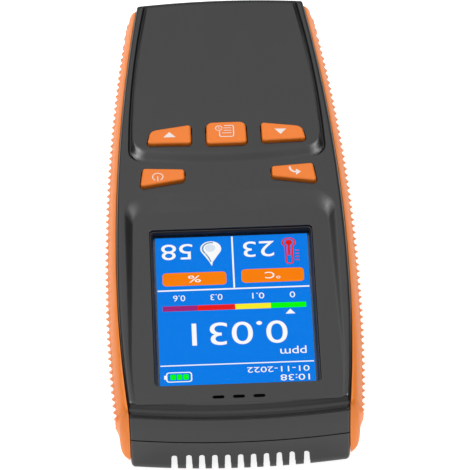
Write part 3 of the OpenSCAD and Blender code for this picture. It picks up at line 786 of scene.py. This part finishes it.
for key, (corners, radii, face_z, side) in KEYS.items():
    top = face_z + 1

    def cap_ring(grow, z):
        return [(x, y, z) for x, y in key_outline(key, grow)]

    cap = solid(f"key_{key}_cap", [
        cap_ring(-1.2, 18.6), cap_ring(-1.2, 21.0), cap_ring(1.0, 21.0), cap_ring(1.1, 21.1), cap_ring(1.1, 22.1),
        cap_ring(1.0, 22.2), cap_ring(0.08, 22.2), cap_ring(0, 22.4), cap_ring(0, top - 0.6),
        cap_ring(-0.05, top - 0.38),
        cap_ring(-0.17, top - 0.19), cap_ring(-0.36, top - 0.06), cap_ring(-0.6, top), cap_ring(-0.75, top - 0.01),
        cap_ring(-1.05, top - 0.05),
    ])
    cap.data.shade_smooth()
    cap.data.set_sharp_from_angle(angle=math.radians(50))
    paint(cap, key_plastic)
    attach(cap, f"{key}_key")
    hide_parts(f"key_{key}")
    marks = joined(f"key_{key}_print", [prism("mark", points, top - 0.1, top - 0.02) for points in PRINTS[key]])
    paint(marks, print_finish)
    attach(marks, f"{key}_key")

# ---------------------------------------------------------------- Screen
# A colour liquid crystal panel behind a clear window, in a black moulded frame. Only generic signs and numbers
# are shown. They are read from the tail, so they look upside down from the sensor end.
LIT_LOW_X, LIT_FAR_Y, LIT_W, LIT_L = -21.6, -14.7, 43.2, 57.6
LAYER_Z = 20.50


def on_screen(u, v):
    return LIT_LOW_X + LIT_W * u, LIT_FAR_Y - LIT_L * v


def glow(name, colour, strength=1.0):
    """A lit colour of the panel, with its fine grid of cells and a slight unevenness."""
    finish = Finish(name, Roughness=0.6, Base_Color=(0.004, 0.004, 0.004, 1), Emission_Strength=strength)
    finish.surface.inputs["Specular IOR Level"].default_value = 0.0
    bands = {"wave_profile": "SIN", "bands_direction": "X"}
    lines = finish.node("TexWave", bands, {"Vector": finish.place(), "Scale": 1000.0}, 1)
    uneven = finish.noise(18, 2)
    amount = lines * 0.10 + uneven * 0.25
    dim = tuple(c * 0.86 for c in colour) + (1,)
    return finish.feed(Emission_Color=finish.between(amount, colour + (1,), dim))


lit = {
    "blue": glow("lit_blue", (0.0, 0.205, 0.84)),
    "white": glow("lit_white", (1.0, 1.0, 1.0)),
    "orange": glow("lit_orange", (1.0, 0.225, 0.0)),
    "red": glow("lit_red", (0.85, 0.01, 0.008)),
    "purple": glow("lit_purple", (0.37, 0.018, 0.19)),
    "yellow": glow("lit_yellow", (1.0, 0.87, 0.02)),
    "green": glow("lit_green", (0.0, 1.0, 0.0)),
    "grey": glow("lit_grey", (0.2, 0.36, 0.55)),
    "mist": glow("lit_mist", (0.72, 0.82, 0.92)),
}
shown = {colour: [] for colour in lit}


def show(colour, points, layer=1):
    z = LAYER_Z + 0.012 * layer
    shown[colour].append(prism("sign", points, z, z + 0.008))


def written(words, centre, height, width, z, side=-1):
    """Figures fitted into a box of the given size in millimetres, read from above, or from below at side 1."""
    curve = bpy.data.curves.new("words", "FONT")
    curve.body, curve.extrude, curve.resolution_u = words, 0.5, 6
    item = bpy.data.objects.new("words", curve)
    bpy.context.scene.collection.objects.link(item)
    bpy.context.view_layer.update()
    mesh = bpy.data.meshes.new_from_object(item)
    bpy.data.objects.remove(item)
    xs, ys = [v.co.x for v in mesh.vertices], [v.co.y for v in mesh.vertices]
    middle_x, middle_y = (min(xs) + max(xs)) / 2, (min(ys) + max(ys)) / 2
    scale_x, scale_y = width / (max(xs) - min(xs)), height / (max(ys) - min(ys))
    for v in mesh.vertices:
        v.co = Vector((
            centre[0] + side * (v.co.x - middle_x) * scale_x, centre[1] - (v.co.y - middle_y) * scale_y,
            z + (0.008 if v.co.z > 0 else 0),
        )) * MM
    skin = bmesh.new()
    skin.from_mesh(mesh)
    bmesh.ops.remove_doubles(skin, verts=skin.verts, dist=0.001 * MM)
    if side > 0:
        bmesh.ops.reverse_faces(skin, faces=skin.faces)
    skin.to_mesh(mesh)
    skin.free()
    made = bpy.data.objects.new("words", mesh)
    bpy.context.scene.collection.objects.link(made)
    return made


def letters(colour, words, centre, height, width, layer=2):
    shown[colour].append(written(words, centre, height, width, LAYER_Z + 0.012 * layer))


def strip(colour, u0, v0, u1, v1, radius=0.0, layer=1):
    (x0, y0), (x1, y1) = on_screen(u0, v0), on_screen(u1, v1)
    half_w, half_l = abs(x1 - x0) / 2, abs(y1 - y0) / 2
    centre = ((x0 + x1) / 2, (y0 + y1) / 2)
    show(colour, box_outline(half_w, half_l, min(max(radius, 0.02), half_w - 0.001, half_l - 0.001), centre), layer)


strip("blue", -0.005, -0.004, 1.005, 1.018, layer=0)
letters("white", "58", on_screen(0.137, 0.095), 6.2, 8.9)
letters("white", "23", on_screen(0.68, 0.093), 6.2, 8.9)
# the drop of the humidity sign
drop_x, drop_y = on_screen(0.362, 0.08)
drop = arc((drop_x, drop_y), 3.0, -24, 204) + [(drop_x - 1.5, drop_y - 3.4), (drop_x - 0.55, drop_y - 5.2)]
drop += [(drop_x + 0.1, drop_y - 6.9), (drop_x + 0.5, drop_y - 5.2), (drop_x + 1.5, drop_y - 3.4)]
show("white", drop)
show("grey", line_shape(arc((drop_x + 0.1, drop_y), 2.45, 75, 225, 24), 0.5), 2)
drop_shade = [(drop_x - 1.55, drop_y - 1.9), (drop_x - 0.75, drop_y - 3.4), (drop_x - 0.1, drop_y - 5.3)]
show("grey", line_shape(drop_shade, 0.42), 2)
show("mist", arc((drop_x - 0.2, drop_y + 0.3), 1.5, 0, 345, 30), 2)
strip("white", 0.50, 0.0, 0.511, 0.355)
# the thermometer
bulb_x, bulb_y = on_screen(0.88, 0.055)
show("red", arc((bulb_x, bulb_y), 2.0, 0, 350, 40))
show("red", box_outline(1.2, 4.0, 1.15, (bulb_x, bulb_y - 4.6)))
show("blue", arc((bulb_x, bulb_y), 1.55, 0, 350, 40), 2)
show("blue", box_outline(0.75, 3.6, 0.74, (bulb_x, bulb_y - 4.6)), 2)
show("red", arc((bulb_x, bulb_y), 1.05, 0, 350, 32), 3)
show("red", box_outline(0.35, 2.6, 0.34, (bulb_x, bulb_y - 2.6)), 3)
for k in range(4):
    show("red", box_outline(0.55, 0.14, 0.1, (bulb_x + 2.3, bulb_y - 3.2 - 1.25 * k)))
strip("orange", 0.035, 0.24, 0.457, 0.33, 1.2)
strip("orange", 0.557, 0.231, 0.968, 0.324, 1.2)
letters("white", "%", on_screen(0.246, 0.285), 2.7, 3.6)
letters("white", "°C", on_screen(0.762, 0.278), 2.7, 4.4)
strip("white", 0.0, 0.3565, 1.0, 0.3655)
for u, words, width in ((0.14, "0.6", 3.4), (0.385, "0.3", 3.4), (0.66, "0.1", 3.4), (0.885, "0", 1.5)):
    letters("white", words, on_screen(u, 0.415), 2.3, width)
scale_colours = ((0.029, 0.257, "purple"), (0.257, 0.505, "red"), (0.505, 0.739, "yellow"), (0.739, 0.972, "green"))
for u0, u1, colour in scale_colours:
    strip(colour, u0, 0.467, u1, 0.503)
tip_x, tip_y = on_screen(0.865, 0.512)
show("white", [(tip_x - 1.4, tip_y - 1.9), (tip_x + 1.4, tip_y - 1.9), (tip_x, tip_y)])
letters("white", "0.031", on_screen(0.526, 0.665), 8.8, 27)
letters("white", "ppm", on_screen(0.87, 0.79), 2.9, 7.4)
strip("white", 0.0, 0.8665, 1.0, 0.8735)
letters("white", "01-11-2022", on_screen(0.765, 0.916), 2.1, 17.5)
letters("white", "10:38", on_screen(0.872, 0.974), 2.3, 8.2)
strip("white", 0.035, 0.914, 0.204, 0.981, 0.9)
strip("blue", 0.043, 0.920, 0.196, 0.975, 0.65, layer=2)
strip("white", 0.022, 0.934, 0.036, 0.962, 0.3)
for k in range(3):
    strip("green", 0.062 + 0.042 * k, 0.929, 0.098 + 0.042 * k, 0.966, 0.3, layer=3)
for colour, signs in shown.items():
    if signs:
        sign = joined("screen_" + colour, signs)
        paint(sign, lit[colour])
        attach(sign, "housing")

screen_clear = Finish("screen_clear", Roughness=0.06, Specular_IOR_Level=0.3, Base_Color=(0.02, 0.02, 0.02, 1))
smear = screen_clear.noise(14, 4, 0.6)
screen_clear.feed(Roughness=smear * 0.08 + 0.03, Alpha=smear * 0.02 + 0.01)
screen_frame = moulded("screen_frame", (0.016, 0.016, 0.018), 0.2, 0.42, 0.3, 0.01)

# ---------------------------------------------------------------- Label print
# Ratings printed in dark ink on the label stuck in the recess of the rear case. Numbers and units only, read
# from below with the sensor end up.
label_ink = moulded("label_ink", (0.02, 0.02, 0.022), 0.2, 0.5, 0.25, 0.003)
LABEL_Z = 0.139                             # just under the label's face
lines = (
    ("0 - 5 ppm", -8, 17), ("0 - 50 °C", 0, 17), ("0 - 95 %", 8, 15.5), ("5 V  1 A", 22, 14), ("3.7 V  2 Ah", 30, 20),
)
ratings = [written(words, (0, y), 2.6, width, LABEL_Z, 1) for words, y, width in lines]
ratings += [prism("line", box_outline(18, 0.15, 0.1, (0, y)), LABEL_Z, LABEL_Z + 0.008) for y in (-13, 15, 36)]
label_print = joined("label_print", ratings)
paint(label_print, label_ink)
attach(label_print, "housing")

# ---------------------------------------------------------------- Inner parts
# Boards, sensors, battery and small hardware that show only with the case open. They keep their plain shapes,
# with softened edges.
def speckled(name, first, second, size, rough, deep, metal=0.0):
    finish = Finish(name, Metallic=metal, Roughness=rough)
    coarse, fine = finish.noise(size * 8, 3), finish.noise(size, 3, 0.6)
    finish.feed(
        Base_Color=finish.between(coarse * 0.5 + fine * 0.5, first + (1,), second + (1,)),
        Roughness=coarse * 0.15 + (rough - 0.07),
    )
    return finish.bump(fine, deep)


steel = speckled("steel", (0.46, 0.46, 0.47), (0.66, 0.66, 0.68), 0.4, 0.32, 0.004, 1.0)
board = speckled("board", (0.006, 0.10, 0.035), (0.012, 0.17, 0.06), 0.5, 0.38, 0.01)
inner = {
    "screen_clear": screen_clear, "screen_frame": screen_frame,
    "screen_panel": speckled("screen_panel", (0.01, 0.03, 0.06), (0.02, 0.05, 0.1), 0.6, 0.2, 0.002),
    "steel": steel, "board": board, "case_plastic": case_plastic,
    "black_parts": speckled("black_parts", (0.012, 0.012, 0.013), (0.03, 0.03, 0.032), 0.3, 0.45, 0.01),
    "ivory_parts": speckled("ivory_parts", (0.62, 0.58, 0.47), (0.74, 0.7, 0.6), 0.5, 0.42, 0.008),
    "keypad_rubber": speckled("keypad_rubber", (0.12, 0.125, 0.13), (0.18, 0.185, 0.19), 0.4, 0.62, 0.012),
    "carbon": speckled("carbon", (0.008, 0.008, 0.008), (0.02, 0.02, 0.02), 0.25, 0.7, 0.01),
    "sensor_can": speckled("sensor_can", (0.42, 0.43, 0.42), (0.6, 0.6, 0.58), 0.5, 0.36, 0.006, 0.9),
    "cell_wrap": speckled("cell_wrap", (0.02, 0.1, 0.33), (0.035, 0.15, 0.45), 0.9, 0.3, 0.015),
    "foam_tape": speckled("foam_tape", (0.6, 0.6, 0.57), (0.75, 0.75, 0.72), 0.3, 0.85, 0.04),
    "wire_cover": speckled("wire_cover", (0.5, 0.01, 0.008), (0.7, 0.03, 0.02), 0.4, 0.4, 0.006),
    "ribbon_film": speckled("ribbon_film", (0.42, 0.16, 0.02), (0.6, 0.26, 0.05), 0.5, 0.3, 0.004),
    "label_film": speckled("label_film", (0.6, 0.61, 0.62), (0.68, 0.69, 0.7), 0.5, 0.4, 0.003),
    "grip_rubber": grip_rubber, "key_plastic": key_plastic,
}
for name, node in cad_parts.items():
    slot = node.data.materials[0].name.split(".")[0] if node.data.materials and node.data.materials[0] else ""
    if slot in inner and name not in ("front_case", "rear_case", "left_grip", "right_grip"):
        paint(node, inner[slot])
        weld = node.modifiers.new("weld", "WELD")
        weld.merge_threshold = 0.002 * MM
        if name.startswith("web_") or name.endswith("_lead"):
            continue
        edges = node.modifiers.new("edges", "BEVEL")
        edges.width, edges.segments, edges.limit_method = 0.12 * MM, 2, "ANGLE"
        edges.angle_limit = math.radians(40)
for key in KEYS:
    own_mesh(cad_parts[f"web_{key}"])

# ---------------------------------------------------------------- Floor and light
# A plain pale table top and soft studio light.
floor = solid("floor", [[(-3000, -3000, z), (3000, -3000, z), (3000, 3000, z), (-3000, 3000, z)] for z in (-20, 0)])
floor_finish = Finish("floor_finish", Roughness=0.8, Emission_Color=(1, 1, 1, 1), Emission_Strength=0.86)
cloud = floor_finish.noise(120, 3)
floor_finish.feed(Base_Color=floor_finish.between(cloud, (0.80, 0.80, 0.80, 1), (0.84, 0.84, 0.84, 1)))
paint(floor, floor_finish)


def soft_light(name, place, width, height, power):
    light = bpy.data.lights.new(name, "AREA")
    light.shape, light.size, light.size_y, light.energy = "RECTANGLE", width, height, power
    lamp = bpy.data.objects.new(name, light)
    lamp.location = place
    lamp.rotation_euler = (-Vector(place)).to_track_quat("-Z", "Y").to_euler()
    bpy.context.scene.collection.objects.link(lamp)


soft_light("back_light", (-0.2, 1.0, 1.0), 1.2, 0.7, 3.3)
soft_light("front_light", (-0.1, -1.1, 1.15), 1.3, 1.0, 4.6)
soft_light("top_light", (0, 0.1, 1.35), 0.5, 1.5, 2.6)
soft_light("left_light", (-0.42, 0.40, 1.0), 0.14, 0.14, 4.4)
soft_light("right_light", (0.42, 0.40, 1.0), 0.14, 0.14, 3.2)
world = bpy.data.worlds.new("studio")
world.use_nodes = True
world.node_tree.nodes["Background"].inputs["Color"].default_value = (1, 1, 1, 1)
world.node_tree.nodes["Background"].inputs["Strength"].default_value = 0.07
bpy.context.scene.world = world
bpy.context.scene.view_settings.view_transform = "Standard"
